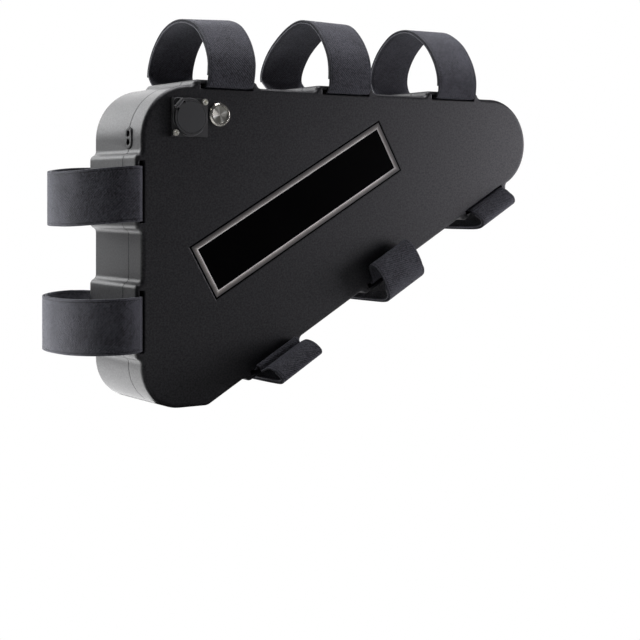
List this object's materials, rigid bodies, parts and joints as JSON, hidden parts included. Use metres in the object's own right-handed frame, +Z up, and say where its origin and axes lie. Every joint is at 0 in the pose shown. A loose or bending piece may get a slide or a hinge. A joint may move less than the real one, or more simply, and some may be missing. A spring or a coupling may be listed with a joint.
{
  "type": "triangle frame battery for an e-bike",
  "caption": "Triangular hard-case e-bike battery with strap loops for the frame's tubes, a capped charge port, a power button and a cable outlet.",
  "frame": {"origin": "middle of the outer face of the middle top pad, where the case hangs under the frame's top tube", "axes": "+X along the top edge towards the narrow nose, +Y through the thickness towards the rear face, +Z up"},
  "size_m": [0.396, 0.1292, 0.281],
  "materials": {
    "case_plastic": "moulded black, fine even grain",
    "seal_rubber": "moulded black",
    "blackened_steel": "black oxide",
    "label_black": "smooth printed film",
    "label_silver": "silver print",
    "webbing": "woven hook-and-loop tape",
    "port_plastic": "moulded black",
    "insert_plastic": "moulded dark grey",
    "contact_brass": "plated contacts",
    "cap_rubber": "moulded dark grey",
    "bright_steel": "plain bright",
    "nickel": "nickel plated, spun face",
    "cell_steel": "shrink-wrapped steel can",
    "holder_plastic": "moulded black",
    "strip_nickel": "nickel strip",
    "insulation": "fibre board",
    "foam": "closed-cell foam",
    "board_laminate": "green lacquered laminate",
    "sink_aluminium": "sawn fins",
    "chip_plastic": "moulded black",
    "connector_plastic": "moulded white",
    "fuse_plastic": "moulded amber"
  },
  "bodies": {
    "case": {"rear_tray": "case_plastic", "front_lid": "case_plastic", "case_seal": "seal_rubber", "case_screws": "blackened_steel", "label_panel": "label_black", "label_border": "label_silver", "rear_label_panel": "label_black", "top_strap_1": "webbing", "top_strap_2": "webbing", "top_strap_3": "webbing", "seat_strap_1": "webbing", "seat_strap_2": "webbing", "lower_strap_1": "webbing", "lower_strap_2": "webbing", "lower_strap_3": "webbing", "port_gasket": "seal_rubber", "port_shell": "port_plastic", "port_insert": "insert_plastic", "port_pins": "contact_brass", "port_hinge_pin": "bright_steel", "port_screws": "bright_steel", "button_housing": "nickel", "button_spring": "bright_steel", "button_nut": "nickel", "button_terminals": "contact_brass", "cable_grommet": "case_plastic", "cell_group_1": "cell_steel", "cell_group_2": "cell_steel", "cell_group_3": "cell_steel", "cell_group_4": "cell_steel", "cell_group_5": "cell_steel", "front_cell_holder": "holder_plastic", "rear_cell_holder": "holder_plastic", "front_nickel_strips": "strip_nickel", "rear_nickel_strips": "strip_nickel", "front_insulation_sheet": "insulation", "rear_insulation_sheet": "insulation", "front_foam_pad": "foam", "rear_foam_pad": "foam", "board": "board_laminate", "board_heat_sink": "sink_aluminium", "board_transistors": "chip_plastic", "board_connector": "connector_plastic", "board_screws": "bright_steel", "fuse_holder": "holder_plastic", "fuse": "fuse_plastic"},
    "button": {"button_plunger": "nickel"},
    "cap": {"port_cap": "cap_rubber"}
  },
  "joints": [
    {"name": "button_press", "type": "slide", "parent": "case", "child": "button", "axis": [0, 1, 0], "range_m": [0, 0.0016], "stiffness_N_per_m": 900, "springref_m": -0.001, "deforming": ["button_spring"]},
    {"name": "cap_turn", "type": "hinge", "parent": "case", "child": "cap", "pos_m": [-0.14307, -0.0418, -0.01763], "axis": [-0.7071, 0, -0.7071], "range_deg": [0, 110]}
  ]
}
